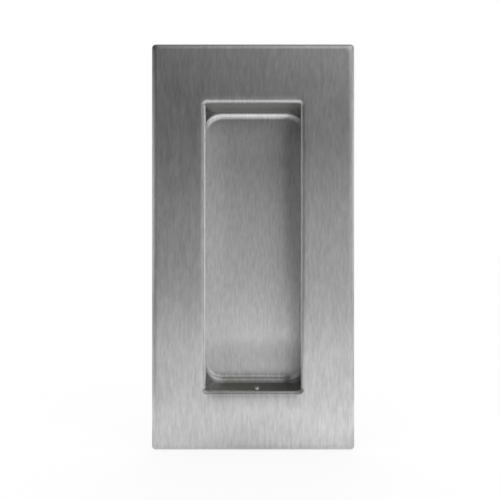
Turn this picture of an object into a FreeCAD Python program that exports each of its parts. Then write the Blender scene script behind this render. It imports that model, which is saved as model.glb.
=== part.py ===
import FreeCAD, Part
import math
import os

# Recessed pull for a pocket door: a pressed cover over a mounting plate with a finger cup behind it.
# The door's face is the plane y = 0. The cover stands out of the door towards -Y, the cup sinks in
# towards +Y, X runs across the pull and Z runs up it. All sizes are in millimetres.

# Cover, as seen from the front
COVER_WIDTH = 60.0
COVER_HEIGHT = 120.0
COVER_SHEET = 1.0
COVER_CORNER_RADIUS = 1.0
COVER_EDGE_BEND = 2.0

# Finger opening in the cover, set by the borders left at its sides and at its ends
SIDE_BORDER = 15.8
END_BORDER = 17.75
OPENING_CORNER_RADIUS = 0.8
OPENING_ROLL = 1.2

# How far the turned-in edges of the opening reach behind the face
LIP_REACH = 3.0
TAB_REACH = 9.6
TAB_CORNER_RADIUS = 0.8

# Mounting plate under the cover
PLATE_THICKNESS = 2.0
PLATE_TO_COVER_GAP = 0.3
PLATE_CORNER_RADIUS = 2.0
PLATE_TO_TAB_GAP = 0.25
PLATE_OPENING_CORNER_RADIUS = 4.0

# Wood screw holes in the mounting plate
SCREW_HOLE_RADIUS = 1.6
COUNTERSINK_RADIUS = 3.0
COUNTERSINK_DEPTH = 1.4
SCREW_INSET = 8.7

# Drawn cup behind the mounting plate
CUP_SHEET = 1.0
CUP_FLANGE = 2.5
CUP_CORNER_RADIUS = 8.8
CUP_FLOOR_FILLET = 3.8
CUP_MOUTH_BEND = 1.5
CUP_TO_TAB_GAP = 0.25
FINGER_UNDERCUT = 4.7
RECESS_DEPTH = 14.0

# Locking screw through the lower tab
LOCK_SCREW_RADIUS = 0.8
LOCK_SCREW_PROUD = 0.75
LOCK_SCREW_OFFSET = 1.1
LOCK_SCREW_CHAMFER = 0.15
LOCK_SCREW_THREAD_GAP = 0.04
LOCK_SOCKET_FLATS = 0.7
LOCK_SOCKET_DEPTH = 0.7

# Levels from front to back
DOOR_Y = 0.0
PLATE_FRONT_Y = DOOR_Y - PLATE_THICKNESS
FACE_Y = PLATE_FRONT_Y - COVER_SHEET
LIP_END_Y = FACE_Y + LIP_REACH
TAB_END_Y = FACE_Y + TAB_REACH
FLOOR_Y = FACE_Y + RECESS_DEPTH

# Half sizes that the pieces share
OPENING_X = COVER_WIDTH / 2 - SIDE_BORDER
OPENING_Z = COVER_HEIGHT / 2 - END_BORDER
TAB_OUTER_Z = OPENING_Z + COVER_SHEET
PLATE_X = COVER_WIDTH / 2 - COVER_SHEET - PLATE_TO_COVER_GAP
PLATE_Z = COVER_HEIGHT / 2 - COVER_SHEET - PLATE_TO_COVER_GAP
PLATE_OPENING_Z = TAB_OUTER_Z + PLATE_TO_TAB_GAP
CUP_X = OPENING_X + FINGER_UNDERCUT

# The cup is just long enough for its round corners to pass outside the square corners of the tabs
TAB_PAST_ARC_CENTRE = max(OPENING_X - (CUP_X - CUP_CORNER_RADIUS), 0.0)
ARC_DROP = CUP_CORNER_RADIUS - math.sqrt(CUP_CORNER_RADIUS**2 - TAB_PAST_ARC_CENTRE**2)
CUP_Z = TAB_OUTER_Z + ARC_DROP + CUP_TO_TAB_GAP
FLANGE_X = CUP_X + CUP_SHEET + CUP_FLANGE
FLANGE_Z = CUP_Z + CUP_SHEET + CUP_FLANGE

# Wood screws sit midway between the end of the cup's flange and the end of the mounting plate
SCREW_X = PLATE_X - SCREW_INSET
SCREW_Z = (FLANGE_Z + PLATE_Z) / 2

BEYOND = 1.0
FLAT = 1e-6


def outline(half_x, half_z, radius, y):
    """Rectangle with round corners, centred on the pull, in a plane across Y."""
    corners = []
    for sign_x, sign_z in ((1, 1), (-1, 1), (-1, -1), (1, -1)):
        centre = FreeCAD.Vector(sign_x * (half_x - radius), y, sign_z * (half_z - radius))
        beside = centre + FreeCAD.Vector(sign_x * radius, 0, 0)
        above = centre + FreeCAD.Vector(0, 0, sign_z * radius)
        reach = radius * math.sqrt(0.5)
        middle = centre + FreeCAD.Vector(sign_x * reach, 0, sign_z * reach)
        ends = (beside, above) if sign_x * sign_z > 0 else (above, beside)
        corners.append((ends[0], middle, ends[1]))
    edges = []
    for index, (start, middle, end) in enumerate(corners):
        following = corners[(index + 1) % 4][0]
        edges.append(Part.Arc(start, middle, end).toShape())
        edges.append(Part.LineSegment(end, following).toShape())
    return Part.Wire(edges)


def block(half_x, half_z, radius, y_front, y_back):
    """Solid between two levels with a rounded outline."""
    face = Part.Face(outline(half_x, half_z, radius, y_front))
    return face.extrude(FreeCAD.Vector(0, y_back - y_front, 0))


def edges_at(shape, y, half_x, half_z):
    """Edges that lie wholly at one level and no further out than a rectangle of the given half sizes."""
    found = []
    for edge in shape.Edges:
        box = edge.BoundBox
        level = abs(box.YMin - y) < FLAT and abs(box.YMax - y) < FLAT
        across = max(abs(box.XMin), abs(box.XMax)) < half_x + FLAT
        along = max(abs(box.ZMin), abs(box.ZMax)) < half_z + FLAT
        if level and across and along:
            found.append(edge)
    return found


def bent_tray(half_x, half_z, bend, y_front, y_back):
    """Block whose front edges are bent over at one radius and meet in mitred corners."""
    size = (2 * half_x, y_back - y_front, 2 * half_z)
    tray = Part.makeBox(*size, FreeCAD.Vector(-half_x, y_front, -half_z))
    return tray.makeFillet(bend, edges_at(tray, y_front, half_x, half_z))


def turned_in_tab(sign_z):
    """Flat tab that reaches into the cup from one end of the opening."""
    z_low = min(sign_z * OPENING_Z, sign_z * TAB_OUTER_Z)
    start = FreeCAD.Vector(-OPENING_X, LIP_END_Y, z_low)
    tab = Part.makeBox(2 * OPENING_X, TAB_END_Y - LIP_END_Y, COVER_SHEET, start)
    corners = []
    for edge in tab.Edges:
        box = edge.BoundBox
        upright = box.ZLength > COVER_SHEET / 2
        if upright and box.YMin > TAB_END_Y - FLAT:
            corners.append(edge)
    return tab.makeFillet(TAB_CORNER_RADIUS, corners)


def cover_plate():
    """Pressed cover: a shallow tray with a rolled opening, side lips and two deep end tabs."""
    half_x = COVER_WIDTH / 2
    half_z = COVER_HEIGHT / 2
    outside = bent_tray(half_x, half_z, COVER_EDGE_BEND, FACE_Y, DOOR_Y)
    outside = outside.common(block(half_x, half_z, COVER_CORNER_RADIUS, FACE_Y - BEYOND, DOOR_Y))
    inner_bend = COVER_EDGE_BEND - COVER_SHEET
    inside = bent_tray(half_x - COVER_SHEET, half_z - COVER_SHEET, inner_bend, PLATE_FRONT_Y, DOOR_Y)

    collar_corner = OPENING_CORNER_RADIUS + COVER_SHEET
    collar_x = OPENING_X + COVER_SHEET
    collar = block(collar_x, TAB_OUTER_Z, collar_corner, FACE_Y + COVER_SHEET / 2, LIP_END_Y)
    cover = outside.cut(inside).fuse(collar)
    for sign_z in (1, -1):
        cover = cover.fuse(turned_in_tab(sign_z))
    opening = block(OPENING_X, OPENING_Z, OPENING_CORNER_RADIUS, FACE_Y - BEYOND, LIP_END_Y)
    cover = cover.cut(opening).removeSplitter()
    cover = cover.makeFillet(OPENING_ROLL, edges_at(cover, FACE_Y, OPENING_X, OPENING_Z))
    return cover.cut(lock_screw_bore())


def lock_screw_bore():
    """Tapped hole for the locking screw, through the lower end of the opening."""
    axis = FreeCAD.Vector(0, 0, -1)
    start = FreeCAD.Vector(LOCK_SCREW_OFFSET, (PLATE_FRONT_Y + DOOR_Y) / 2, -OPENING_Z + COVER_SHEET)
    radius = LOCK_SCREW_RADIUS + LOCK_SCREW_THREAD_GAP
    return Part.makeCylinder(radius, 3 * COVER_SHEET, start, axis)


def screw_places():
    """Centres of the four wood screw holes, on the door's face."""
    return [FreeCAD.Vector(x, DOOR_Y, z) for x in (-SCREW_X, SCREW_X) for z in (-SCREW_Z, SCREW_Z)]


def countersunk_hole(place):
    """Cutter for one wood screw: a plain hole that opens into a cone at the front."""
    forward = FreeCAD.Vector(0, -1, 0)
    hole = Part.makeCylinder(SCREW_HOLE_RADIUS, PLATE_THICKNESS, place, forward)
    cone_start = FreeCAD.Vector(place.x, PLATE_FRONT_Y + COUNTERSINK_DEPTH, place.z)
    cone = Part.makeCone(SCREW_HOLE_RADIUS, COUNTERSINK_RADIUS, COUNTERSINK_DEPTH, cone_start, forward)
    return hole.fuse(cone)


def mounting_plate():
    """Flat plate that is screwed to the door and carries the cover and the cup."""
    plate = block(PLATE_X, PLATE_Z, PLATE_CORNER_RADIUS, PLATE_FRONT_Y, DOOR_Y)
    front = edges_at(plate, PLATE_FRONT_Y, PLATE_X, PLATE_Z)
    plate = plate.makeChamfer(COVER_EDGE_BEND - COVER_SHEET, front)
    window = block(CUP_X, PLATE_OPENING_Z, PLATE_OPENING_CORNER_RADIUS, PLATE_FRONT_Y, DOOR_Y)
    plate = plate.cut(window)
    for place in screw_places():
        plate = plate.cut(countersunk_hole(place))
    return plate


def cup_body(offset):
    """Deep rounded block, either the hollow of the cup or its outside."""
    corner = CUP_CORNER_RADIUS + offset
    y_back = FLOOR_Y + offset
    half_x = CUP_X + offset
    half_z = CUP_Z + offset
    body = block(half_x, half_z, corner, DOOR_Y, y_back)
    return body.makeFillet(CUP_FLOOR_FILLET + offset, edges_at(body, y_back, half_x, half_z))


def cup():
    """Drawn cup with a round floor edge and a narrow flange welded to the mounting plate."""
    flange_corner = CUP_CORNER_RADIUS + CUP_SHEET + CUP_FLANGE
    flange = block(FLANGE_X, FLANGE_Z, flange_corner, DOOR_Y, DOOR_Y + CUP_SHEET)
    solid = flange.fuse(cup_body(CUP_SHEET)).removeSplitter().cut(cup_body(0.0))
    return solid.makeFillet(CUP_MOUTH_BEND, edges_at(solid, DOOR_Y, CUP_X, CUP_Z))


def locking_screw():
    """Headless screw whose end shows in the recess and whose tip bears on the mounting plate."""
    up = FreeCAD.Vector(0, 0, 1)
    middle_y = (PLATE_FRONT_Y + DOOR_Y) / 2
    tip = FreeCAD.Vector(LOCK_SCREW_OFFSET, middle_y, -PLATE_OPENING_Z)
    length = PLATE_OPENING_Z - OPENING_Z + LOCK_SCREW_PROUD
    screw = Part.makeCylinder(LOCK_SCREW_RADIUS, length, tip, up)
    rims = [edge for edge in screw.Edges if edge.Closed]
    screw = screw.makeChamfer(LOCK_SCREW_CHAMFER, rims)
    reach = LOCK_SOCKET_FLATS / math.sqrt(3)
    points = []
    for step in range(7):
        angle = math.radians(60 * step)
        x = tip.x + reach * math.cos(angle)
        y = tip.y + reach * math.sin(angle)
        points.append(FreeCAD.Vector(x, y, tip.z + length))
    socket = Part.Face(Part.makePolygon(points)).extrude(up * -LOCK_SOCKET_DEPTH)
    return screw.cut(socket)


PIECES = {
    "cover_plate": cover_plate,
    "mounting_plate": mounting_plate,
    "cup": cup,
    "locking_screw": locking_screw,
}

os.makedirs("parts", exist_ok=True)
for name, make in PIECES.items():
    shape = make()
    solids = shape.Solids
    piece = solids[0] if len(solids) == 1 else Part.makeCompound(solids)
    piece.exportStep("parts/" + name + ".step")
    box = piece.BoundBox
    print(name, len(solids), "solid", round(piece.Volume, 1), "mm3", piece.isValid(),
          [round(v, 2) for v in (box.XMin, box.XMax, box.YMin, box.YMax, box.ZMin, box.ZMax)])
print("screw holes", round(2 * SCREW_X, 3), "by", round(2 * SCREW_Z, 3), "cup half length", round(CUP_Z, 3))
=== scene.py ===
from collections import namedtuple
import math

import bmesh
import bpy
from bpy.props import FloatProperty, FloatVectorProperty, IntProperty, PointerProperty
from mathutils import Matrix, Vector


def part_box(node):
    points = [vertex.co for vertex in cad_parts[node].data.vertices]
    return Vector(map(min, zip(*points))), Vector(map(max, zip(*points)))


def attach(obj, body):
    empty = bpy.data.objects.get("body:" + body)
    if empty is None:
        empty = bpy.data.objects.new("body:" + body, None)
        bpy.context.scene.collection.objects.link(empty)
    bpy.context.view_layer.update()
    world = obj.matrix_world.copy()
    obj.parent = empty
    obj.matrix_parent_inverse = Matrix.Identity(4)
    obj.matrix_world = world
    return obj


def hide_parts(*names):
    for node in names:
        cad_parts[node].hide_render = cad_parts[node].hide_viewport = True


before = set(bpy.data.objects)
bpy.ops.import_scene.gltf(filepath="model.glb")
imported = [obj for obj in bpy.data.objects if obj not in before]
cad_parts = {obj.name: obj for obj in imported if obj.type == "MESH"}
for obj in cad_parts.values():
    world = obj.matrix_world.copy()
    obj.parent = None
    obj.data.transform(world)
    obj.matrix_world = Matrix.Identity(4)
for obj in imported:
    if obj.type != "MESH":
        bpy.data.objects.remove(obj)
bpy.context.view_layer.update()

bl_info = {
    "name": "Pocket door pull",
    "version": (1, 0, 0),
    "blender": (4, 5, 0),
    "location": "View3D > Sidebar > Door pull",
    "description": "Dresses a recessed pull for a pocket door in satin steel and sets it in a studio",
    "category": "Object",
}

MM = 0.001
NEAR = 0.02 * MM
TINY = 0.001 * MM

COVER_LOW, COVER_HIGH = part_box("cover_plate")
PLATE_LOW, PLATE_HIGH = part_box("mounting_plate")
CUP_LOW, CUP_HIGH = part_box("cup")
SCREW_LOW, SCREW_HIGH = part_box("locking_screw")

FACE_Y = COVER_LOW.y
DOOR_Y = PLATE_HIGH.y
COVER_SHEET = PLATE_LOW.y - COVER_LOW.y
CUP_SHEET = 1.0 * MM
QUARTER_TURN = math.pi / 2

# Facets across the small rounds, and how many more a wide corner has than a bend.
COVER_CORNER_FACETS = 6
TAB_CORNER_FACETS = 5
CHAMFER_FACETS = 2
HOLE_FACETS = 32
SCREW_FACETS = 40
WIDE_CORNER_EXTRA = 4

# The tab's tapped hole, and how far the lip's ends flare before they run on as tabs.
HOLE_CLEARANCE = 0.02 * MM
HOLE_CUT = 3.0 * MM
TAB_FLARE = 0.2 * MM

# Edges that turn by more than this angle stay sharp, and large flat sides keep their own shading.
SHARP_ANGLE = math.radians(35.0)
FLAT_SIDE_WEIGHT = 100

# Grain of the brushed steel: its size across and along the pull, its detail and its own place in the noise.
Grain = namedtuple("Grain", ("across", "along", "detail", "seed"))
FINE_GRAIN = Grain(0.65 * MM, 3.6 * MM, 3.0, 0.0)
COARSE_GRAIN = Grain(1.8 * MM, 9.0 * MM, 2.0, 7.3)
GRAIN_ROUGHNESS = 0.6
GRAIN_MIDDLE = (0.3, 0.7)
FINE_SHARE = 0.75
ROUGHNESS_SPREAD = 0.03

# The brush draws reflections out along this line, nearly level and a little into the door.
BRUSH_TANGENT = (1.0, 0.15)

# The sockets of a Mix node that hold its two colours and their mixture.
MIX_COLOURS = (6, 7)
MIX_RESULT = 2

# A place on the steel that looks different, with its colour, the change of its roughness and how matt it is.
Zone = namedtuple("Zone", ("place", "colour", "rougher", "matt"), defaults=(0.0, 0.0))

# Half the width over which one half of the pull turns into the other.
HALF_SOFT = 1.0 * MM
# How far the zones of the opening reach past its edge into the sheet.
PAST_EDGE = 2.0 * MM
# Where the rougher steel of an end tab, painted dark as shade of the recess, starts inside the edge of the
# opening, and over what height it sets in.
TAB_INSIDE = 0.7 * MM
TAB_SOFT = 0.3 * MM
# Where the side lips start inside the edge, how deep they set in, and how far they stay from the ends.
LIP_INSIDE = 0.1 * MM
LIP_SOFT = 0.4 * MM
LIP_END = 0.5 * MM
# The painted highlight is weaker on the right lip, because the light comes from the right and falls on the left
# lip.
RIGHT_LIP_SHARE = 0.4
# The end dips fade out beside the opening between these two distances from its side.
DIP_OUTSIDE = 1.0 * MM
DIP_INSIDE = 2.5 * MM
# They set in between these two distances inside the end of the opening.
DIP_FAR = 4.0 * MM
DIP_NEAR = 0.5 * MM
# Height over which the round zones inside the cup set in.
FILLET_SOFT = 2.0 * MM

# Soft cards on the tent, each with its angle to the right of the front, its angle above level, its reach in
# degrees and its light.
TENT_CARDS = (
    (-100.0, 2.0, 28.0, 0.52),
    (-3.0, -3.0, 24.0, 0.43),
    (26.0, -3.0, 28.0, 0.46),
    (44.0, -3.0, 28.0, 0.36),
    (-20.0, 30.0, 22.0, 0.08),
    (15.0, 30.0, 22.0, 0.11),
    (50.0, 30.0, 22.0, 0.15),
    (40.0, 48.0, 38.0, 0.66),
    (90.0, 76.0, 45.0, 0.38),
    (90.0, 4.0, 36.0, 0.55),
    (135.0, 5.0, 60.0, 0.80),
    (-78.0, 2.0, 34.0, 0.40),
    (-140.0, 5.0, 60.0, 0.45),
)
# Pools of light on the floor as the steel mirrors it, each with its place to the right and its place behind the
# middle of the pull, its radius, all in millimetres, and its light.
FLOOR_POOLS = (
    (-50.0, -25.0, 60.0, 0.47),
    (0.0, -25.0, 60.0, 0.48),
    (50.0, -25.0, 60.0, 0.54),
    (-50.0, -110.0, 100.0, 0.49),
    (30.0, -110.0, 100.0, 0.46),
    (120.0, -90.0, 110.0, 0.62),
    (-90.0, -260.0, 190.0, 0.56),
    (80.0, -260.0, 190.0, 0.48),
    (260.0, -180.0, 190.0, 0.64),
    (230.0, 120.0, 220.0, 0.90),
    (-230.0, 100.0, 220.0, 0.70),
    (70.0, 15.0, 45.0, 0.80),
    (-70.0, 15.0, 45.0, 0.70),
    (150.0, 0.0, 80.0, 0.45),
    (-150.0, 0.0, 80.0, 0.45),
)
# Share of a card or a pool, from its middle out, that has its full light.
FULL_LIGHT = 0.15
TENT_SEGMENTS = 96
TENT_RINGS = 48

WHITE = (1.0, 1.0, 1.0, 1.0)
WORLD_LIGHT = 1.1
FLOOR_SIZE = 8.0
FLOOR_ROUGHNESS = 0.9
# How much of the floor that the camera sees is plain white, and the rest is paint that takes the pull's shadow.
FLOOR_WHITE = 0.85

LAMP_PLACE = Vector((0.26, -0.22, 0.10))
LAMP_WIDTH = 0.12
LAMP_HEIGHT = 0.2
LAMP_LIGHT = 1.0

SENSOR_WIDTH = 36.0
CAMERA_SHIFT = -0.04
CLIP_START = 0.01
CLIP_END = 20.0


def length(name, description, default):
    """Property that holds a length in metres."""
    return FloatProperty(name=name, description=description, default=default, min=0.0, unit="LENGTH",
                         precision=5)


def colour(name, description, default):
    """Property that holds a colour."""
    return FloatVectorProperty(name=name, description=description, default=default, subtype="COLOR", size=3,
                               min=0.0, max=1.0)


def light(name, description, default):
    """Property that holds an amount of light or a factor on it."""
    return FloatProperty(name=name, description=description, default=default, min=0.0)


def facets(default):
    """Property that holds the facets across each bend of a piece."""
    return IntProperty(name="Segments", description="Facets across each bend", default=default, min=4, max=32)


class CoverSizes(bpy.types.PropertyGroup):
    sheet: length("Sheet", "Thickness of the cover's sheet", COVER_SHEET)
    edge_bend: length("Edge bend", "Outside radius of the bend round the front", 2.0 * MM)
    corner_radius: length("Corner radius", "Radius of the four corners, seen from the front", 1.0 * MM)
    side_border: length("Side border", "Width of the face beside the opening", 15.8 * MM)
    end_border: length("End border", "Height of the face above and below the opening", 17.75 * MM)
    opening_corner: length("Opening corner", "Corner radius of the opening", 0.8 * MM)
    roll: length("Roll", "Radius of the opening's rolled edge", 1.2 * MM)
    lead_width: length("Lead-in width", "Width of the soft lead-in all round the opening", 1.2 * MM)
    lead_depth: length("Lead-in depth", "Depth of that lead-in where the roll begins", 0.02 * MM)
    upper_dip_width: length("Upper dip width", "Height of the soft dip above the opening", 2.6 * MM)
    upper_dip_depth: length("Upper dip depth", "Depth of that dip where the roll begins", 0.10 * MM)
    lower_dip_width: length("Lower dip width", "Height of the soft dip below the opening", 4.5 * MM)
    lower_dip_depth: length("Lower dip depth", "Depth of that dip where the roll begins", 0.29 * MM)
    tab_corner: length("Tab corner", "Radius of the free corners of the end tabs", 0.8 * MM)
    segments: facets(14)


class CupSizes(bpy.types.PropertyGroup):
    sheet: length("Sheet", "Thickness of the cup's sheet", CUP_SHEET)
    flange: length("Flange", "Width of the flange outside the cup's wall", 2.5 * MM)
    corner_radius: length("Corner radius", "Inside radius of the cup's four corners", 8.8 * MM)
    mouth_bend: length("Mouth bend", "Radius of the bend from flange to wall", 1.5 * MM)
    floor_fillet: length("Floor fillet", "Inside radius where the wall meets the floor", 3.8 * MM)
    rise_before: length("End rise before", "How far before a corner's arc the floor starts to rise", 7.0 * MM)
    rise_after: length("End rise after", "How far past the arc's start that rise is complete", 10.0 * MM)
    upper_rise: length("Upper rise", "Rise of the floor towards its upper end", 0.45 * MM)
    lower_rise: length("Lower rise", "Rise of the floor towards its lower end", 1.0 * MM)
    side_start: length("Side rise start", "Where the floor starts to rise to a side, from its middle", 8.5 * MM)
    side_end: length("Side rise end", "Where that rise is complete, from the middle", 15.8 * MM)
    right_rise: length("Right rise", "Rise of the floor towards its right side", 3.6 * MM)
    left_rise: length("Left rise", "Rise of the floor towards its left side", 1.2 * MM)
    hem_start: length("Hem start", "Where the last, steeper rise starts, from the middle", 14.0 * MM)
    hem_rise: length("Hem rise", "Rise that it adds at both sides", 0.20 * MM)
    segments: facets(16)


class ScrewSizes(bpy.types.PropertyGroup):
    flats: length("Socket", "Width across the flats of the hexagon socket", 0.7 * MM)
    socket_depth: length("Socket depth", "Depth of the hexagon socket", 0.7 * MM)
    chamfer: length("Chamfer", "Chamfer at both ends", 0.15 * MM)


class Finish(bpy.types.PropertyGroup):
    cover: colour("Cover", "Colour of the satin steel on the cover", (0.74, 0.74, 0.74))
    cup: colour("Cup", "Colour of the satin steel in the cup", (0.89, 0.895, 0.89))
    # Painted shade: the turned-in tabs are painted dark, standing in for the shade of the recess.
    inside: colour("Turned-in tabs", "Colour of the dull steel that the brush doesn't reach",
                   (0.30, 0.305, 0.29))
    # Painted highlight: a pale, smoother steel colour put on the lips and the cup's fillet where their highlights
    # show.
    painted_highlight: colour("Burnished", "Colour of the cup's fillet and the lips, where the die burnished them",
                      (0.94, 0.94, 0.93))
    # Painted shade: the cup's ends above and below the fillet are painted dark, standing in for the shade in the
    # gap behind the tabs.
    ends: colour("Cup ends", "Colour of the drawn steel above and below the fillet", (0.17, 0.17, 0.17))
    plate: colour("Mounting plate", "Colour of the rolled sheet under the cover", (0.56, 0.56, 0.57))
    screw: colour("Locking screw", "Colour of the turned screw", (0.72, 0.71, 0.68))
    depth_shade: FloatProperty(name="Depth shade", description="Factor on the colour of the tabs deep inside",
                               default=0.45, min=0.0, max=1.0)


class Studio(bpy.types.PropertyGroup):
    camera_distance: length("Camera distance", "Distance from the camera to the face", 150.0 * MM)
    camera_right: length("Camera to the right", "How far the camera stands right of the middle", 5.0 * MM)
    camera_low: length("Camera below", "How far the camera stands below the middle", 0.9 * MM)
    frame_width: length("Frame width", "Width of the view at the face", 146.6 * MM)
    floor_colour: colour("Floor", "Colour of the studio floor", (0.92, 0.92, 0.92))
    tent_radius: length("Tent radius", "How far the cloth of the light tent is from the pull", 400.0 * MM)
    tent_gain: light("Tent gain", "Factor on the light of all cards on the tent", 1.0)
    floor_gain: light("Floor gain", "Factor on the light of all pools on the floor", 1.0)
    floor_base: light("Floor base", "Light of the floor between the pools", 0.16)


def deselect():
    """Leaves edit mode and clears the selection, which holds the frame's own nodes at first."""
    if bpy.context.mode != "OBJECT":
        bpy.ops.object.mode_set(mode="OBJECT")
    bpy.ops.object.select_all(action="DESELECT")


def pick(piece):
    """Selects one piece alone and makes it the active one."""
    deselect()
    piece.select_set(True)
    bpy.context.view_layer.objects.active = piece


def flat_sheet(name, half_x, half_z, y, corner, segments):
    """Flat rectangle that faces the front, with round corners, left in edit mode with its face selected."""
    deselect()
    bpy.ops.mesh.primitive_plane_add(size=1.0, location=(0.0, y, 0.0), rotation=(QUARTER_TURN, 0.0, 0.0))
    piece = bpy.context.object
    piece.name = name
    piece.data.name = name
    piece.scale = (2 * half_x, 2 * half_z, 1.0)
    bpy.ops.object.transform_apply(location=True, rotation=True, scale=True)
    bpy.ops.object.mode_set(mode="EDIT")
    if corner > 0:
        bpy.ops.mesh.select_mode(type="VERT")
        bpy.ops.mesh.select_all(action="SELECT")
        bpy.ops.mesh.bevel(offset=corner, offset_type="OFFSET", segments=segments, profile=0.5,
                           affect="VERTICES")
    bpy.ops.mesh.select_mode(type="FACE")
    bpy.ops.mesh.select_all(action="SELECT")
    return piece


def sink(steps):
    """Insets the selected face again and again, each time by a width and a depth away from the viewer."""
    for width, depth in steps:
        bpy.ops.mesh.inset(thickness=width, depth=-depth, use_even_offset=True, use_boundary=True)


def push_back(depth):
    """Extrudes the selection straight into the door."""
    bpy.ops.mesh.extrude_region_move(TRANSFORM_OT_translate={"value": (0.0, depth, 0.0)})


def arc_steps(radius, start, end, segments):
    """Widths and depths of a bend that turns from facing the viewer towards facing sideways."""
    steps = []
    for index in range(segments):
        here = start + (end - start) * index / segments
        after = start + (end - start) * (index + 1) / segments
        width = radius * (math.sin(after) - math.sin(here))
        depth = radius * (math.cos(here) - math.cos(after))
        steps.append((width, depth))
    return steps


def lead_steps(width, depth, segments):
    """Widths and depths of the soft lead-in round the opening, which steepens towards the roll."""
    steps = []
    for index in range(segments):
        here = index / segments
        after = (index + 1) / segments
        steps.append((width / segments, depth * (after**2 - here**2)))
    return steps


def select_where(test, kind="EDGE"):
    """Selects the edges, faces or vertices of the mesh in edit mode that pass a test, at least one of them."""
    bpy.ops.mesh.select_mode(type=kind)
    bpy.ops.mesh.select_all(action="DESELECT")
    piece = bpy.context.object
    mesh = bmesh.from_edit_mesh(piece.data)
    items = {"EDGE": mesh.edges, "FACE": mesh.faces, "VERT": mesh.verts}[kind]
    found = [item for item in items if test(item)]
    if not found:
        raise RuntimeError(f"{piece.name} has nothing of kind {kind} at the place that is to be shaped")
    for item in found:
        item.select_set(True)
    mesh.select_flush_mode()
    bmesh.update_edit_mesh(piece.data)


def boundary_at(y):
    """Test for open edges that lie at one level."""
    def test(edge):
        return edge.is_boundary and all(abs(vertex.co.y - y) < NEAR for vertex in edge.verts)
    return test


def thicken(piece, thickness):
    """Gives a shell its sheet thickness behind the side that shows."""
    pick(piece)
    wall = piece.modifiers.new("Sheet", "SOLIDIFY")
    wall.thickness = thickness
    wall.offset = -1.0
    wall.use_even_offset = True
    wall.use_quality_normals = True
    bpy.ops.object.modifier_apply(modifier=wall.name)


def face_front(piece):
    """Turns the whole shell so that its flat front looks at the viewer."""
    bpy.ops.object.mode_set(mode="EDIT")
    bpy.ops.mesh.select_all(action="SELECT")
    bpy.ops.mesh.remove_doubles(threshold=TINY)
    bpy.ops.mesh.normals_make_consistent(inside=False)
    bpy.ops.object.mode_set(mode="OBJECT")
    widest = max(piece.data.polygons, key=lambda face: face.area)
    if widest.normal.y > 0:
        bpy.ops.object.mode_set(mode="EDIT")
        bpy.ops.mesh.select_all(action="SELECT")
        bpy.ops.mesh.flip_normals()
        bpy.ops.object.mode_set(mode="OBJECT")


def smooth(piece):
    """Smooth shading that keeps true edges sharp and flat sides flat."""
    pick(piece)
    bpy.ops.object.shade_smooth_by_angle(angle=SHARP_ANGLE)
    even = piece.modifiers.new("Even shading", "WEIGHTED_NORMAL")
    even.keep_sharp = True
    even.weight = FLAT_SIDE_WEIGHT
    bpy.ops.object.modifier_apply(modifier=even.name)


def cut_with(piece, cutter):
    """Cuts a closed shape out of a piece and removes the cutter."""
    pick(piece)
    cut = piece.modifiers.new("Cut", "BOOLEAN")
    cut.operation = "DIFFERENCE"
    cut.solver = "EXACT"
    cut.object = cutter
    bpy.ops.object.modifier_apply(modifier=cut.name)
    bpy.data.objects.remove(cutter)


def finish_piece(piece, node, material):
    """Puts a finished piece in its node's place and gives it its material."""
    piece.data.materials.clear()
    piece.data.materials.append(material)
    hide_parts(node)
    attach(piece, "root")


def link(tree, output, target):
    """Joins two sockets."""
    tree.links.new(output, target)


def math_node(tree, operation, first, second):
    """One step of arithmetic, on sockets or numbers."""
    node = tree.nodes.new("ShaderNodeMath")
    node.operation = operation
    for value, target in zip((first, second), node.inputs):
        if isinstance(value, (int, float)):
            target.default_value = value
        else:
            link(tree, value, target)
    return node.outputs[0]


def all_of(tree, *shares):
    """Share of a place that lies in several zones at once."""
    product = shares[0]
    for share in shares[1:]:
        product = math_node(tree, "MULTIPLY", product, share)
    return product


def rise(tree, value, start, end, kind="SMOOTHSTEP"):
    """Nothing up to the start, one from the end on, and a soft or a straight step between them."""
    ranged = tree.nodes.new("ShaderNodeMapRange")
    ranged.interpolation_type = kind
    ranged.inputs["From Min"].default_value = start
    ranged.inputs["From Max"].default_value = end
    link(tree, value, ranged.inputs["Value"])
    return ranged.outputs["Result"]


def curve(tree, value, start, end):
    """Nothing up to the start and one at the end, flat at first and steepening all the way."""
    return math_node(tree, "POWER", rise(tree, value, start, end, "LINEAR"), 2.0)


def grain(tree, size):
    """Noise drawn out along the pull."""
    place = tree.nodes.new("ShaderNodeTexCoord")
    mapping = tree.nodes.new("ShaderNodeMapping")
    mapping.inputs["Location"].default_value = (size.seed, size.seed, size.seed)
    mapping.inputs["Scale"].default_value = (1.0 / size.across, 1.0 / size.across, 1.0 / size.along)
    noise = tree.nodes.new("ShaderNodeTexNoise")
    noise.inputs["Scale"].default_value = 1.0
    noise.inputs["Detail"].default_value = size.detail
    noise.inputs["Roughness"].default_value = GRAIN_ROUGHNESS
    link(tree, place.outputs["Object"], mapping.inputs["Vector"])
    link(tree, mapping.outputs["Vector"], noise.inputs["Vector"])
    return noise.outputs["Fac"]


def spread(tree, value, middle, reach):
    """Maps the middle of a noise onto the range that reaches to both sides of a value."""
    ranged = tree.nodes.new("ShaderNodeMapRange")
    ranged.inputs["From Min"].default_value = GRAIN_MIDDLE[0]
    ranged.inputs["From Max"].default_value = GRAIN_MIDDLE[1]
    ranged.inputs["To Min"].default_value = middle - reach
    ranged.inputs["To Max"].default_value = middle + reach
    link(tree, value, ranged.inputs["Value"])
    return ranged.outputs["Result"]


def opaque(base):
    """A colour with full cover."""
    return (*base, 1.0)


def blend(tree, share, first, second):
    """Mixes two colours, each a socket or a fixed colour."""
    mix = tree.nodes.new("ShaderNodeMix")
    mix.data_type = "RGBA"
    link(tree, share, mix.inputs[0])
    for index, value in zip(MIX_COLOURS, (first, second)):
        if isinstance(value, tuple):
            mix.inputs[index].default_value = value
        else:
            link(tree, value, mix.inputs[index])
    return mix.outputs[MIX_RESULT]


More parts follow.
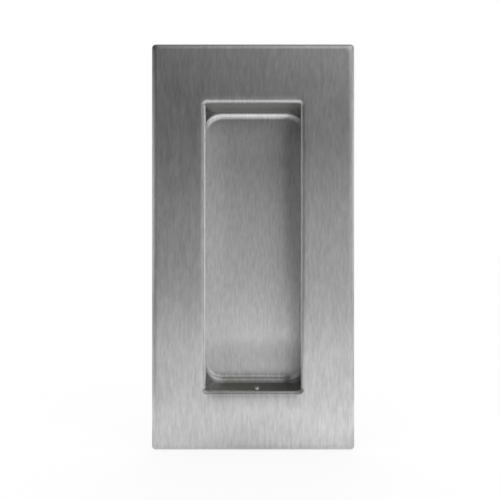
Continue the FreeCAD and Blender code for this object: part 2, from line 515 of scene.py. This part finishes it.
def satin_steel(name, base, roughness, anisotropy, streak, relief, zones=(), dish=None):
    """Brushed stainless steel with fine lines that run up the pull.

    The streak is how far its tone varies, the relief is the depth of the lines, and the dish is a broad relief."""
    material = bpy.data.materials.new(name)
    material.use_nodes = True
    tree = material.node_tree
    shader = tree.nodes["Principled BSDF"]
    shader.inputs["Metallic"].default_value = 1.0
    shader.inputs["Anisotropic"].default_value = anisotropy

    fine = grain(tree, FINE_GRAIN)
    coarse = grain(tree, COARSE_GRAIN)
    both = math_node(tree, "ADD", math_node(tree, "MULTIPLY", fine, FINE_SHARE),
                     math_node(tree, "MULTIPLY", coarse, 1.0 - FINE_SHARE))
    steel = opaque(base)
    rough = spread(tree, coarse, roughness, ROUGHNESS_SPREAD)
    for zone in zones:
        share = zone.place(tree)
        steel = blend(tree, share, steel, opaque(zone.colour))
        rough = math_node(tree, "ADD", rough, math_node(tree, "MULTIPLY", share, zone.rougher))
        if zone.matt > 0:
            link(tree, math_node(tree, "SUBTRACT", 1.0, math_node(tree, "MULTIPLY", share, zone.matt)),
                 shader.inputs["Metallic"])
    streaked = tree.nodes.new("ShaderNodeVectorMath")
    streaked.operation = "SCALE"
    if zones:
        link(tree, steel, streaked.inputs["Vector"])
    else:
        streaked.inputs["Vector"].default_value = steel[:3]
    link(tree, spread(tree, both, 1.0, streak), streaked.inputs["Scale"])
    link(tree, streaked.outputs["Vector"], shader.inputs["Base Color"])
    link(tree, rough, shader.inputs["Roughness"])

    bump = tree.nodes.new("ShaderNodeBump")
    bump.inputs["Strength"].default_value = 1.0
    bump.inputs["Distance"].default_value = relief
    link(tree, fine, bump.inputs["Height"])
    if dish is not None:
        pressed = tree.nodes.new("ShaderNodeBump")
        pressed.inputs["Strength"].default_value = 1.0
        pressed.inputs["Distance"].default_value = 1.0
        link(tree, dish(tree), pressed.inputs["Height"])
        link(tree, pressed.outputs["Normal"], bump.inputs["Normal"])
    link(tree, bump.outputs["Normal"], shader.inputs["Normal"])

    across = tree.nodes.new("ShaderNodeCombineXYZ")
    across.inputs["X"].default_value = BRUSH_TANGENT[0]
    across.inputs["Y"].default_value = BRUSH_TANGENT[1]
    link(tree, across.outputs["Vector"], shader.inputs["Tangent"])
    return material


def object_place(tree):
    """The three coordinates of a point on the piece."""
    place = tree.nodes.new("ShaderNodeTexCoord")
    parts = tree.nodes.new("ShaderNodeSeparateXYZ")
    link(tree, place.outputs["Object"], parts.inputs["Vector"])
    return parts.outputs["X"], parts.outputs["Y"], parts.outputs["Z"]


def size_of(tree, value):
    """A coordinate's distance from the middle."""
    return math_node(tree, "ABSOLUTE", value, 0.0)


def by_half(tree, place, upper, lower):
    """One value in the upper or right half and another in the lower or left half."""
    share = rise(tree, place, -HALF_SOFT, HALF_SOFT)
    return math_node(tree, "ADD", math_node(tree, "MULTIPLY", share, upper - lower), lower)


def facing_inwards(tree, x, z):
    """One where the surface looks towards the middle, seen from the front, and nothing elsewhere."""
    outward = tree.nodes.new("ShaderNodeCombineXYZ")
    link(tree, x, outward.inputs["X"])
    link(tree, z, outward.inputs["Z"])
    surface = tree.nodes.new("ShaderNodeNewGeometry")
    along = tree.nodes.new("ShaderNodeVectorMath")
    along.operation = "DOT_PRODUCT"
    link(tree, surface.outputs["True Normal"], along.inputs[0])
    link(tree, outward.outputs["Vector"], along.inputs[1])
    return math_node(tree, "LESS_THAN", along.outputs["Value"], 0.0)


def towards_front(tree):
    """One on surfaces that look to the front, nothing on the walls and minus one on the back."""
    surface = tree.nodes.new("ShaderNodeNewGeometry")
    parts = tree.nodes.new("ShaderNodeSeparateXYZ")
    link(tree, surface.outputs["True Normal"], parts.inputs["Vector"])
    return math_node(tree, "MULTIPLY", parts.outputs["Y"], -1.0)


def end_tab_zone(opening_x, opening_z, depth, reach, lower):
    """Place on the end tabs from a depth behind the face, where they are painted dark as shade of the recess.

    It sets in over a reach, and the lower tab has its own share."""
    def place(tree):
        x, y, z = object_place(tree)
        height = size_of(tree, z)
        start = FACE_Y + depth
        inner = opening_z - TAB_INSIDE
        return all_of(tree, by_half(tree, z, 1.0, lower), rise(tree, y, start, start + reach),
                      rise(tree, height, inner, inner + TAB_SOFT),
                      math_node(tree, "LESS_THAN", height, opening_z + PAST_EDGE),
                      math_node(tree, "LESS_THAN", size_of(tree, x), opening_x + PAST_EDGE))
    return place


def lip_zone(opening_x, opening_z, depth):
    """Place of the painted highlight on the side lips from a depth behind the face, weaker on the right lip."""
    def place(tree):
        x, y, z = object_place(tree)
        beside = size_of(tree, x)
        start = FACE_Y + depth
        return all_of(tree, by_half(tree, x, RIGHT_LIP_SHARE, 1.0), rise(tree, y, start, start + LIP_SOFT),
                      math_node(tree, "GREATER_THAN", beside, opening_x - LIP_INSIDE),
                      math_node(tree, "LESS_THAN", beside, opening_x + PAST_EDGE),
                      math_node(tree, "LESS_THAN", size_of(tree, z), opening_z - LIP_END))
    return place


def end_dips(sizes, opening_x, opening_z):
    """Soft dips above and below the opening, where the press drew the end tabs in."""
    def dish(tree):
        x, _, z = object_place(tree)
        beside = rise(tree, size_of(tree, x), opening_x + DIP_OUTSIDE, opening_x - DIP_INSIDE)
        edge = opening_z + sizes.roll
        shapes = []
        for height, width, depth in ((z, sizes.upper_dip_width, sizes.upper_dip_depth),
                                     (math_node(tree, "MULTIPLY", z, -1.0), sizes.lower_dip_width,
                                      sizes.lower_dip_depth)):
            past = rise(tree, height, opening_z - DIP_FAR, opening_z - DIP_NEAR)
            hollow = curve(tree, height, edge + width, edge)
            shapes.append(math_node(tree, "MULTIPLY", all_of(tree, beside, past, hollow), -depth))
        return math_node(tree, "ADD", *shapes)
    return dish


def fillet_zone(floor_y, start, end, from_z, lower):
    """Place inside the cup that has risen from its floor, at the ends and round the corners.

    It sets in between two heights over the floor, and the lower end has its own share."""
    def place(tree):
        x, y, z = object_place(tree)
        risen = math_node(tree, "SUBTRACT", floor_y, y)
        return all_of(tree, by_half(tree, z, 1.0, lower), rise(tree, risen, start, end),
                      rise(tree, size_of(tree, z), from_z, from_z + FILLET_SOFT), facing_inwards(tree, x, z))
    return place


def floor_rise(sizes, corner_z):
    """Gentle rise of the cup's floor towards its ends and its sides, left from the drawing.

    It is pressed in the sheet, so it is a hollow on the back of the cup."""
    def dish(tree):
        x, _, z = object_place(tree)
        beside = size_of(tree, x)
        at_ends = rise(tree, size_of(tree, z), corner_z - sizes.rise_before, corner_z + sizes.rise_after)
        ends = math_node(tree, "MULTIPLY", at_ends, by_half(tree, z, sizes.upper_rise, sizes.lower_rise))
        at_sides = curve(tree, beside, sizes.side_start, sizes.side_end)
        sides = math_node(tree, "MULTIPLY", at_sides, by_half(tree, x, sizes.right_rise, sizes.left_rise))
        hem = math_node(tree, "MULTIPLY", curve(tree, beside, sizes.hem_start, sizes.side_end), sizes.hem_rise)
        height = math_node(tree, "ADD", ends, math_node(tree, "ADD", sides, hem))
        return math_node(tree, "MULTIPLY", height, towards_front(tree))
    return dish


class PULL_OT_cover(bpy.types.Operator):
    """Pressed cover with bent edges, a rolled opening, side lips and two end tabs"""
    bl_idname = "pull.cover"
    bl_label = "Cover"

    def execute(self, context):
        sizes = context.scene.pull_cover
        half_x = COVER_HIGH.x
        half_z = COVER_HIGH.z
        opening_x = half_x - sizes.side_border
        opening_z = half_z - sizes.end_border
        rim = self.opening_rim(sizes, opening_x, opening_z)
        front = self.bent_frame(sizes, half_x, half_z)
        pick(front)
        rim.select_set(True)
        bpy.ops.object.join()
        bpy.ops.object.mode_set(mode="EDIT")
        select_where(boundary_at(FACE_Y))
        bpy.ops.mesh.bridge_edge_loops()
        self.end_tabs(sizes, opening_x, opening_z)
        bpy.ops.object.mode_set(mode="OBJECT")
        face_front(front)
        thicken(front, sizes.sheet)
        self.screw_hole(front)
        smooth(front)
        front.name = "cover"
        steel = self.steel(context.scene.pull_finish, sizes, opening_x, opening_z)
        finish_piece(front, "cover_plate", steel)
        return {"FINISHED"}

    def opening_rim(self, sizes, opening_x, opening_z):
        """Lead-in, roll and lips round the opening."""
        outside = sizes.roll + sizes.lead_width
        corner = sizes.opening_corner + outside
        rim = flat_sheet("opening_rim", opening_x + outside, opening_z + outside, FACE_Y, corner, sizes.segments)
        slope = math.atan(2 * sizes.lead_depth / sizes.lead_width)
        across = sizes.roll * (1 - math.sin(slope))
        sink(lead_steps(outside - across, sizes.lead_depth, sizes.segments // 2))
        sink(arc_steps(sizes.roll, slope, QUARTER_TURN, sizes.segments))
        push_back(DOOR_Y - FACE_Y - sizes.lead_depth - sizes.roll * math.cos(slope))
        bpy.ops.mesh.delete(type="FACE")
        return rim

    def bent_frame(self, sizes, half_x, half_z):
        """Flat face, its outer bend and the rim that stands on the door."""
        bend = sizes.edge_bend
        x, z, y = half_x - bend, half_z - bend, FACE_Y
        front = flat_sheet("front", x, z, y, corner=0.0, segments=1)
        bpy.ops.mesh.delete(type="ONLY_FACE")
        bpy.ops.mesh.select_mode(type="EDGE")
        bpy.ops.mesh.select_all(action="SELECT")
        for width, depth in arc_steps(bend, 0.0, QUARTER_TURN, sizes.segments):
            self.widen(x, z, width, depth)
            x, z, y = x + width, z + width, y + depth
        self.widen(x, z, 0.0, DOOR_Y - y)

        def on_ridge(edge):
            runs_back = abs(edge.verts[0].co.y - edge.verts[1].co.y) > TINY
            wide = all(abs(vertex.co.x) > half_x - bend - NEAR for vertex in edge.verts)
            high = all(abs(vertex.co.z) > half_z - bend - NEAR for vertex in edge.verts)
            return runs_back and wide and high

        select_where(on_ridge)
        bpy.ops.mesh.bevel(offset=sizes.corner_radius, offset_type="OFFSET", segments=COVER_CORNER_FACETS,
                           profile=0.5, affect="EDGES", clamp_overlap=True)
        bpy.ops.object.mode_set(mode="OBJECT")
        return front

    def widen(self, x, z, width, depth):
        """Extrudes the selected rectangle outwards and back."""
        bpy.ops.mesh.extrude_edges_move(TRANSFORM_OT_translate={"value": (0.0, depth, 0.0)})
        bpy.ops.transform.resize(value=((x + width) / x, 1.0, (z + width) / z), center_override=(0.0, 0.0, 0.0))

    def end_tabs(self, sizes, opening_x, opening_z):
        """Draws the straight ends of the lip back into two flat tabs as wide as the opening."""
        straight = opening_x - sizes.opening_corner

        def at_end(edge):
            level = all(abs(abs(vertex.co.z) - opening_z) < NEAR for vertex in edge.verts)
            back = all(abs(vertex.co.y - DOOR_Y) < NEAR for vertex in edge.verts)
            return edge.is_boundary and level and back

        select_where(at_end)
        bpy.ops.mesh.extrude_edges_move(TRANSFORM_OT_translate={"value": (0.0, TAB_FLARE, 0.0)})
        bpy.ops.transform.resize(value=(opening_x / straight, 1.0, 1.0), center_override=(0.0, 0.0, 0.0))
        reach = COVER_HIGH.y - DOOR_Y - TAB_FLARE
        bpy.ops.mesh.extrude_edges_move(TRANSFORM_OT_translate={"value": (0.0, reach, 0.0)})
        select_where(lambda vertex: vertex.co.y > COVER_HIGH.y - NEAR, "VERT")
        bpy.ops.mesh.bevel(offset=sizes.tab_corner, offset_type="OFFSET", segments=TAB_CORNER_FACETS,
                           profile=0.5, affect="VERTICES")

    def screw_hole(self, piece):
        """Hole for the locking screw in the lower end of the opening."""
        middle = (SCREW_LOW + SCREW_HIGH) / 2
        radius = (SCREW_HIGH.x - SCREW_LOW.x) / 2 + HOLE_CLEARANCE
        deselect()
        bpy.ops.mesh.primitive_cylinder_add(vertices=HOLE_FACETS, radius=radius, depth=HOLE_CUT, location=middle)
        cut_with(piece, bpy.context.object)

    def steel(self, finish, sizes, opening_x, opening_z):
        """Satin steel with a painted highlight on the lips, and rougher tabs painted dark as shade, a painted
        shade that deepens towards their ends.
        """
        lips = lip_zone(opening_x, opening_z, depth=0.3 * MM)
        tabs = end_tab_zone(opening_x, opening_z, depth=0.45 * MM, reach=0.65 * MM, lower=1.0)
        # Painted shade that deepens further into the recess, half as strong on the lower tab.
        deep = end_tab_zone(opening_x, opening_z, depth=2.0 * MM, reach=7.0 * MM, lower=0.5)
        shaded = [channel * finish.depth_shade for channel in finish.inside]
        # The lips get a pale, partly matt colour that stands in for their highlight: a painted highlight.
        zones = (Zone(lips, finish.painted_highlight, rougher=-0.12, matt=0.65),
                 Zone(tabs, finish.inside, rougher=0.06),
                 Zone(deep, shaded))
        return satin_steel("cover_satin_steel", finish.cover, roughness=0.40, anisotropy=0.85, streak=0.15,
                           relief=0.004 * MM, zones=zones, dish=end_dips(sizes, opening_x, opening_z))


class PULL_OT_finger_cup(bpy.types.Operator):
    """Drawn cup with a narrow flange, round corners and a round floor edge"""
    bl_idname = "pull.finger_cup"
    bl_label = "Finger cup"

    def execute(self, context):
        sizes = context.scene.pull_cup
        floor_y = CUP_HIGH.y - sizes.sheet
        flange_corner = sizes.corner_radius + sizes.sheet + sizes.flange
        cup = flat_sheet("finger_cup", CUP_HIGH.x, CUP_HIGH.z, DOOR_Y, flange_corner,
                         sizes.segments + WIDE_CORNER_EXTRA)
        sink([(sizes.flange + sizes.sheet - sizes.mouth_bend, 0.0)])
        sink(arc_steps(sizes.mouth_bend, 0.0, QUARTER_TURN, sizes.segments // 2))
        push_back(floor_y - DOOR_Y - sizes.mouth_bend - sizes.floor_fillet)
        bend = arc_steps(sizes.floor_fillet, 0.0, QUARTER_TURN, sizes.segments)
        sink([(depth, width) for width, depth in bend])
        bpy.ops.object.mode_set(mode="OBJECT")
        thicken(cup, sizes.sheet)
        smooth(cup)
        steel = self.steel(context.scene.pull_finish, sizes, floor_y)
        finish_piece(cup, "cup", steel)
        return {"FINISHED"}

    def steel(self, finish, sizes, floor_y):
        """Satin steel with a painted highlight round the floor and painted shade above and below it."""
        corner_z = CUP_HIGH.z - sizes.flange - sizes.sheet - sizes.corner_radius
        # The floor fillet gets the pale, smoother painted highlight colour where its highlight arc shows.
        fillet = fillet_zone(floor_y, start=0.004 * MM, end=0.06 * MM, from_z=corner_z - FILLET_SOFT, lower=1.0)
        # Painted shade on the cup's ends past the fillet, weaker at the lower end.
        ends = fillet_zone(floor_y, start=0.28 * MM, end=0.66 * MM, from_z=corner_z, lower=0.75)
        zones = (Zone(fillet, finish.painted_highlight, rougher=-0.12), Zone(ends, finish.ends))
        return satin_steel("cup_satin_steel", finish.cup, roughness=0.42, anisotropy=0.85, streak=0.155,
                           relief=0.002 * MM, zones=zones, dish=floor_rise(sizes, corner_z))


class PULL_OT_locking_screw(bpy.types.Operator):
    """Headless screw with a hexagon socket in the end that shows"""
    bl_idname = "pull.locking_screw"
    bl_label = "Locking screw"

    def execute(self, context):
        sizes = context.scene.pull_screw
        middle = (SCREW_LOW + SCREW_HIGH) / 2
        radius = (SCREW_HIGH.x - SCREW_LOW.x) / 2
        depth = SCREW_HIGH.z - SCREW_LOW.z
        deselect()
        bpy.ops.mesh.primitive_cylinder_add(vertices=SCREW_FACETS, radius=radius, depth=depth, location=middle)
        screw = context.object
        screw.name = "lock_screw"
        bpy.ops.object.transform_apply(location=True, rotation=True, scale=True)
        bpy.ops.object.mode_set(mode="EDIT")
        select_where(lambda edge: abs(edge.verts[0].co.z - edge.verts[1].co.z) < NEAR)
        bpy.ops.mesh.bevel(offset=sizes.chamfer, offset_type="OFFSET", segments=CHAMFER_FACETS, affect="EDGES")
        deselect()
        socket_place = Vector((middle.x, middle.y, SCREW_HIGH.z))
        bpy.ops.mesh.primitive_cylinder_add(vertices=6, radius=sizes.flats / math.sqrt(3),
                                            depth=2 * sizes.socket_depth, location=socket_place)
        cut_with(screw, context.object)
        smooth(screw)
        steel = satin_steel("screw_turned_steel", context.scene.pull_finish.screw, roughness=0.45,
                            anisotropy=0.0, streak=0.05, relief=0.001 * MM)
        finish_piece(screw, "locking_screw", steel)
        return {"FINISHED"}


class PULL_OT_mounting_plate(bpy.types.Operator):
    """Rolled sheet finish for the plate under the cover"""
    bl_idname = "pull.mounting_plate"
    bl_label = "Mounting plate"

    def execute(self, context):
        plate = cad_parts["mounting_plate"]
        steel = satin_steel("plate_rolled_steel", context.scene.pull_finish.plate, roughness=0.42,
                            anisotropy=0.3, streak=0.06, relief=0.002 * MM)
        plate.data.materials.clear()
        plate.data.materials.append(steel)
        return {"FINISHED"}


class PULL_OT_studio(bpy.types.Operator):
    """Pale floor, light tent, soft lamp and the camera"""
    bl_idname = "pull.studio"
    bl_label = "Studio"

    def execute(self, context):
        settings = context.scene.pull_studio
        self.world(context)
        self.floor(settings)
        self.tent(settings)
        self.lamp(context)
        self.camera(context, settings)
        context.scene.view_settings.view_transform = "Standard"
        return {"FINISHED"}

    def world(self, context):
        """White surroundings that light the pull a little more than they show."""
        world = bpy.data.worlds.new("studio")
        context.scene.world = world
        world.use_nodes = True
        tree = world.node_tree
        background = tree.nodes["Background"]
        background.inputs["Color"].default_value = WHITE
        strength = tree.nodes.new("ShaderNodeMapRange")
        strength.inputs["To Min"].default_value = WORLD_LIGHT
        strength.inputs["To Max"].default_value = 1.0
        link(tree, self.seen(tree), strength.inputs["Value"])
        link(tree, strength.outputs["Result"], background.inputs["Strength"])

    def seen(self, tree):
        """One for the rays that the camera, gloss and glass send out, and nothing for the others."""
        path = tree.nodes.new("ShaderNodeLightPath")
        either = math_node(tree, "MAXIMUM", path.outputs["Is Camera Ray"], path.outputs["Is Glossy Ray"])
        return math_node(tree, "MAXIMUM", either, path.outputs["Is Transmission Ray"])

    def floor(self, settings):
        """White floor, with pools of light on it where the steel mirrors it."""
        deselect()
        bpy.ops.mesh.primitive_plane_add(size=FLOOR_SIZE, location=(0.0, 0.0, COVER_LOW.z))
        floor = bpy.context.object
        floor.name = "studio_floor"
        material = bpy.data.materials.new("studio_floor")
        material.use_nodes = True
        tree = material.node_tree
        paint = tree.nodes["Principled BSDF"]
        paint.inputs["Base Color"].default_value = opaque(settings.floor_colour)
        paint.inputs["Roughness"].default_value = FLOOR_ROUGHNESS

        mirrored = settings.floor_base
        for right, back, radius, level in FLOOR_POOLS:
            pool = self.pool(tree, right * MM, back * MM, radius * MM)
            mirrored = math_node(tree, "ADD", math_node(tree, "MULTIPLY", pool, level * settings.floor_gain),
                                 mirrored)
        path = tree.nodes.new("ShaderNodeLightPath")
        glow = tree.nodes.new("ShaderNodeEmission")
        glow.inputs["Color"].default_value = WHITE
        link(tree, math_node(tree, "MAXIMUM", path.outputs["Is Camera Ray"], mirrored), glow.inputs["Strength"])
        mix = tree.nodes.new("ShaderNodeMixShader")
        pale = math_node(tree, "MULTIPLY", path.outputs["Is Camera Ray"], FLOOR_WHITE)
        link(tree, math_node(tree, "MAXIMUM", pale, path.outputs["Is Glossy Ray"]), mix.inputs["Fac"])
        link(tree, paint.outputs["BSDF"], mix.inputs[1])
        link(tree, glow.outputs["Emission"], mix.inputs[2])
        link(tree, mix.outputs["Shader"], tree.nodes["Material Output"].inputs["Surface"])
        floor.data.materials.append(material)

    def pool(self, tree, right, back, radius):
        """Round soft pool on the floor, brightest in its middle."""
        place = tree.nodes.new("ShaderNodeTexCoord")
        away = tree.nodes.new("ShaderNodeVectorMath")
        away.operation = "DISTANCE"
        away.inputs[1].default_value = (right, back, 0.0)
        link(tree, place.outputs["Object"], away.inputs[0])
        return rise(tree, away.outputs["Value"], radius, radius * FULL_LIGHT)

    def tent(self, settings):
        """Dark tent outside the picture, with soft cards that only the steel mirrors."""
        deselect()
        bpy.ops.mesh.primitive_uv_sphere_add(segments=TENT_SEGMENTS, ring_count=TENT_RINGS,
                                             radius=settings.tent_radius)
        cloth = bpy.context.object
        cloth.name = "studio_tent"
        bpy.ops.object.mode_set(mode="EDIT")
        select_where(lambda face: face.calc_center_median().z < COVER_LOW.z, "FACE")
        bpy.ops.mesh.delete(type="FACE")
        bpy.ops.object.mode_set(mode="OBJECT")
        material = bpy.data.materials.new("studio_tent")
        material.use_nodes = True
        tree = material.node_tree
        mirrored = 0.0
        for side, height, reach, level in TENT_CARDS:
            card = self.card(tree, math.radians(side), math.radians(height), math.radians(reach))
            mirrored = math_node(tree, "ADD", math_node(tree, "MULTIPLY", card, level * settings.tent_gain),
                                 mirrored)
        glow = tree.nodes.new("ShaderNodeEmission")
        link(tree, mirrored, glow.inputs["Strength"])
        link(tree, glow.outputs["Emission"], tree.nodes["Material Output"].inputs["Surface"])
        cloth.data.materials.append(material)
        cloth.visible_camera = False
        cloth.visible_diffuse = False
        cloth.visible_shadow = False

    def card(self, tree, side, height, reach):
        """Round soft card on the tent, to one side and up, brightest in its middle."""
        place = tree.nodes.new("ShaderNodeTexCoord")
        unit = tree.nodes.new("ShaderNodeVectorMath")
        unit.operation = "NORMALIZE"
        link(tree, place.outputs["Object"], unit.inputs[0])
        level = math.cos(height)
        along = tree.nodes.new("ShaderNodeVectorMath")
        along.operation = "DOT_PRODUCT"
        along.inputs[1].default_value = (math.sin(side) * level, -math.cos(side) * level, math.sin(height))
        link(tree, unit.outputs["Vector"], along.inputs[0])
        return rise(tree, along.outputs["Value"], math.cos(reach), math.cos(reach * FULL_LIGHT))

    def lamp(self, context):
        """Soft lamp to the right and above, which the steel doesn't mirror."""
        data = bpy.data.lights.new("right_box", "AREA")
        data.shape = "RECTANGLE"
        data.size = LAMP_WIDTH
        data.size_y = LAMP_HEIGHT
        data.energy = LAMP_LIGHT * math.pi * LAMP_WIDTH * LAMP_HEIGHT
        lamp = bpy.data.objects.new("right_box", data)
        context.scene.collection.objects.link(lamp)
        lamp.location = LAMP_PLACE
        lamp.rotation_euler = (-LAMP_PLACE).to_track_quat("-Z", "Y").to_euler()
        lamp.visible_glossy = False

    def camera(self, context, settings):
        """Camera straight in front, a little to the right and low, shifted to put the pull in its place."""
        data = bpy.data.cameras.new("camera")
        camera = bpy.data.objects.new("camera", data)
        context.scene.collection.objects.link(camera)
        camera.location = (settings.camera_right, FACE_Y - settings.camera_distance, -settings.camera_low)
        camera.rotation_euler = (QUARTER_TURN, 0.0, 0.0)
        data.sensor_width = SENSOR_WIDTH
        data.lens = SENSOR_WIDTH * settings.camera_distance / settings.frame_width
        data.shift_x = CAMERA_SHIFT
        data.clip_start = CLIP_START
        data.clip_end = CLIP_END
        context.scene.camera = camera


class PULL_PT_panel(bpy.types.Panel):
    """Sidebar panel with one button for each piece and one for the studio"""
    bl_label = "Pocket door pull"
    bl_idname = "PULL_PT_panel"
    bl_space_type = "VIEW_3D"
    bl_region_type = "UI"
    bl_category = "Door pull"

    def draw(self, context):
        for operator in OPERATORS:
            self.layout.operator(operator.bl_idname)


GROUPS = {
    "pull_cover": CoverSizes,
    "pull_cup": CupSizes,
    "pull_screw": ScrewSizes,
    "pull_finish": Finish,
    "pull_studio": Studio,
}
OPERATORS = (PULL_OT_cover, PULL_OT_finger_cup, PULL_OT_locking_screw, PULL_OT_mounting_plate, PULL_OT_studio)


def register():
    """Registers the sizes, the operators and the panel."""
    for name, group in GROUPS.items():
        bpy.utils.register_class(group)
        setattr(bpy.types.Scene, name, PointerProperty(type=group))
    for item in (*OPERATORS, PULL_PT_panel):
        bpy.utils.register_class(item)


def unregister():
    """Takes them all out again."""
    for item in reversed((*OPERATORS, PULL_PT_panel)):
        bpy.utils.unregister_class(item)
    for name, group in reversed(GROUPS.items()):
        delattr(bpy.types.Scene, name)
        bpy.utils.unregister_class(group)


def main():
    """Makes the pull and its studio."""
    register()
    bpy.ops.pull.cover()
    bpy.ops.pull.finger_cup()
    bpy.ops.pull.locking_screw()
    bpy.ops.pull.mounting_plate()
    bpy.ops.pull.studio()


if __name__ == "__main__":
    main()
